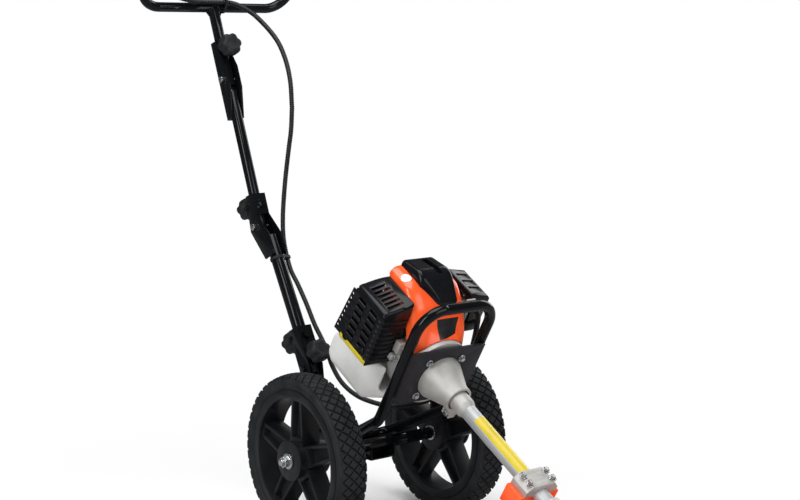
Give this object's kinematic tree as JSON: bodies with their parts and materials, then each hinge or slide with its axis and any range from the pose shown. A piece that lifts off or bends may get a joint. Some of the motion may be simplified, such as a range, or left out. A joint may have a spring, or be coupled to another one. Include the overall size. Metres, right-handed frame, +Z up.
{
  "type": "wheeled string trimmer",
  "caption": "Petrol string trimmer on a two-wheeled tube frame: sloping drive tube to a line head with guard, folding mast with swept handlebar, throttle hose and clamp knobs.",
  "frame": {"origin": "on the ground under the middle of the bounding box", "axes": "+Z up, -Y towards the line head, +Y towards the operator, +X to the operator's left"},
  "size_m": [0.4814, 1.2735, 1.0671],
  "materials": {
    "tyre_rubber": "matte",
    "wheel_plastic": "satin",
    "black_coat": "gloss",
    "zinc_steel": "satin",
    "cast_aluminium": "matte",
    "tube_aluminium": "satin",
    "orange_plastic": "gloss",
    "black_plastic": "satin",
    "white_plastic": "satin",
    "red_plastic": "gloss",
    "soft_rubber": "matte",
    "bulb_rubber": "satin",
    "heat_steel": "matte",
    "plug_ceramic": "gloss"
  },
  "bodies": {
    "chassis": {"axle": "zinc_steel", "axle_tube": "black_coat", "axle_fasteners": "zinc_steel", "hoop_frame": "black_coat", "engine_plate": "black_coat", "base_bracket": "black_coat", "mast_post": "black_coat", "base_pivot_bolt": "zinc_steel", "fan_case": "cast_aluminium", "crankcase": "cast_aluminium", "cylinder": "cast_aluminium", "engine_cover": "orange_plastic", "top_cap": "black_plastic", "spark_plug": "plug_ceramic", "muffler": "heat_steel", "muffler_cover": "black_plastic", "carburettor": "cast_aluminium", "air_filter_cover": "black_plastic", "starter_housing": "black_plastic", "fuel_tank": "white_plastic", "bolts": "zinc_steel", "clutch_housing": "cast_aluminium", "damper_bush": "soft_rubber", "drive_tube": "tube_aluminium", "gear_case": "cast_aluminium", "guard": "orange_plastic", "guard_clamp": "cast_aluminium", "conduit_lower": "black_plastic"},
    "wheel_left": {"tyre_left": "tyre_rubber", "rim_left": "wheel_plastic"},
    "wheel_right": {"tyre_right": "tyre_rubber", "rim_right": "wheel_plastic"},
    "crank": {"crankshaft": "zinc_steel", "clutch_shoes": "zinc_steel"},
    "drive": {"drive_shaft": "zinc_steel"},
    "head": {"spindle": "zinc_steel", "head_body": "black_plastic"},
    "bump": {"bump_knob": "orange_plastic"},
    "mast_lower": {"lower_mast": "black_coat", "mid_pivot_bolt": "zinc_steel", "tie_lower": "black_plastic", "conduit_middle": "black_plastic"},
    "mast_mid": {"mid_mast": "black_coat", "upper_pivot_bolt": "zinc_steel"},
    "handle": {"handle_frame": "black_coat", "grips": "soft_rubber", "throttle_housing": "black_plastic", "tie_upper": "black_plastic", "conduit_upper": "black_plastic"},
    "upper_knob": {"knob_upper": "black_plastic"},
    "mid_knob": {"knob_mid": "black_plastic"},
    "rear_knob": {"knob_base_rear": "black_plastic"},
    "front_knob": {"knob_base_front": "black_plastic"},
    "trigger": {"throttle_trigger": "black_plastic"},
    "switch": {"stop_switch": "red_plastic"},
    "throttle_arm": {"carb_lever": "zinc_steel"},
    "choke": {"choke_lever": "white_plastic"},
    "primer": {"primer_bulb": "bulb_rubber"},
    "pull": {"starter_handle": "black_plastic"},
    "tank_cap": {"fuel_cap": "black_plastic"}
  },
  "joints": [
    {"name": "wheel_left_spin", "type": "hinge", "parent": "chassis", "child": "wheel_left", "pos_m": [0.159, -0.09105, 0.15], "axis": [1, 0, 0], "continuous": true},
    {"name": "wheel_right_spin", "type": "hinge", "parent": "chassis", "child": "wheel_right", "pos_m": [-0.159, -0.09105, 0.15], "axis": [1, 0, 0], "continuous": true},
    {"name": "crank_spin", "type": "hinge", "parent": "chassis", "child": "crank", "pos_m": [0, -0.26305, 0.302], "axis": [0, 0.8572, 0.515], "continuous": true},
    {"name": "head_spin", "type": "hinge", "parent": "chassis", "child": "head", "pos_m": [0, -0.58192, 0.11041], "axis": [0, 0, 1], "continuous": true},
    {"name": "drive_spin", "type": "hinge", "parent": "chassis", "child": "drive", "pos_m": [0, -0.58192, 0.11041], "axis": [0, 0.8572, 0.515], "continuous": true},
    {"name": "bump_press", "type": "slide", "parent": "head", "child": "bump", "axis": [0, 0, 1], "range_m": [0, 0.006], "stiffness_N_per_m": 2500, "springref_m": -0.02},
    {"name": "mast_base_fold", "type": "hinge", "parent": "chassis", "child": "mast_lower", "pos_m": [0, 0.10895, 0.258], "axis": [-1, 0, 0], "range_deg": [0, 30], "deforming": ["conduit_lower", "conduit_middle"]},
    {"name": "mast_mid_fold", "type": "hinge", "parent": "mast_lower", "child": "mast_mid", "pos_m": [0, 0.27286, 0.51244], "axis": [-1, 0, 0], "range_deg": [0, 90], "deforming": ["conduit_middle", "conduit_upper"]},
    {"name": "mast_upper_fold", "type": "hinge", "parent": "mast_mid", "child": "handle", "pos_m": [0, 0.3818, 0.79625], "axis": [1, 0, 0], "range_deg": [0, 110], "deforming": ["conduit_upper", "conduit_middle"]},
    {"name": "upper_knob_turn", "type": "hinge", "parent": "handle", "child": "upper_knob", "pos_m": [0, 0.40402, 0.85413], "axis": [0, 0.9336, -0.3584], "continuous": true},
    {"name": "mid_knob_turn", "type": "hinge", "parent": "mast_mid", "child": "mid_knob", "pos_m": [0, 0.28862, 0.55352], "axis": [0, 0.9336, -0.3584], "continuous": true},
    {"name": "rear_knob_turn", "type": "hinge", "parent": "mast_lower", "child": "rear_knob", "pos_m": [0, 0.13901, 0.31223], "axis": [0, 0.8746, -0.4848], "continuous": true},
    {"name": "front_knob_turn", "type": "hinge", "parent": "chassis", "child": "front_knob", "pos_m": [0, 0.11865, 0.27549], "axis": [0, 0.8746, -0.4848], "continuous": true},
    {"name": "trigger_pull", "type": "hinge", "parent": "handle", "child": "trigger", "pos_m": [-0.20545, 0.47194, 1.01224], "axis": [0.9927, 0.1209, 0], "range_deg": [0, 18], "stiffness_Nm_per_rad": 0.4, "springref_deg": -20.05},
    {"name": "throttle_arm_turn", "type": "hinge", "parent": "chassis", "child": "throttle_arm", "pos_m": [0.068, -0.23586, 0.4315], "axis": [0, -0.515, 0.8572], "range_deg": [0, 70]},
    {"name": "switch_slide", "type": "slide", "parent": "handle", "child": "switch", "axis": [-0.1201, 0.9855, -0.1201], "range_m": [0, 0.006]},
    {"name": "choke_turn", "type": "hinge", "parent": "chassis", "child": "choke", "pos_m": [0.083, -0.23394, 0.37782], "axis": [0, -0.8572, -0.515], "range_deg": [0, 60]},
    {"name": "primer_press", "type": "slide", "parent": "chassis", "child": "primer", "axis": [0, -0.515, 0.8572], "range_m": [0, 0.0035], "stiffness_N_per_m": 600, "springref_m": -0.003},
    {"name": "starter_pull", "type": "slide", "parent": "chassis", "child": "pull", "axis": [1, 0, 0], "range_m": [0, 0.3], "stiffness_N_per_m": 20, "springref_m": -0.25},
    {"name": "tank_cap_turn", "type": "hinge", "parent": "chassis", "child": "tank_cap", "pos_m": [0.045, -0.07597, 0.34791], "axis": [0, 0.8572, 0.515], "continuous": true}
  ],
  "couplings": [
    {"joint": "drive_spin", "follows": "head_spin", "ratio": 1.3333},
    {"joint": "throttle_arm_turn", "follows": "trigger_pull", "ratio": 3.8889}
  ]
}
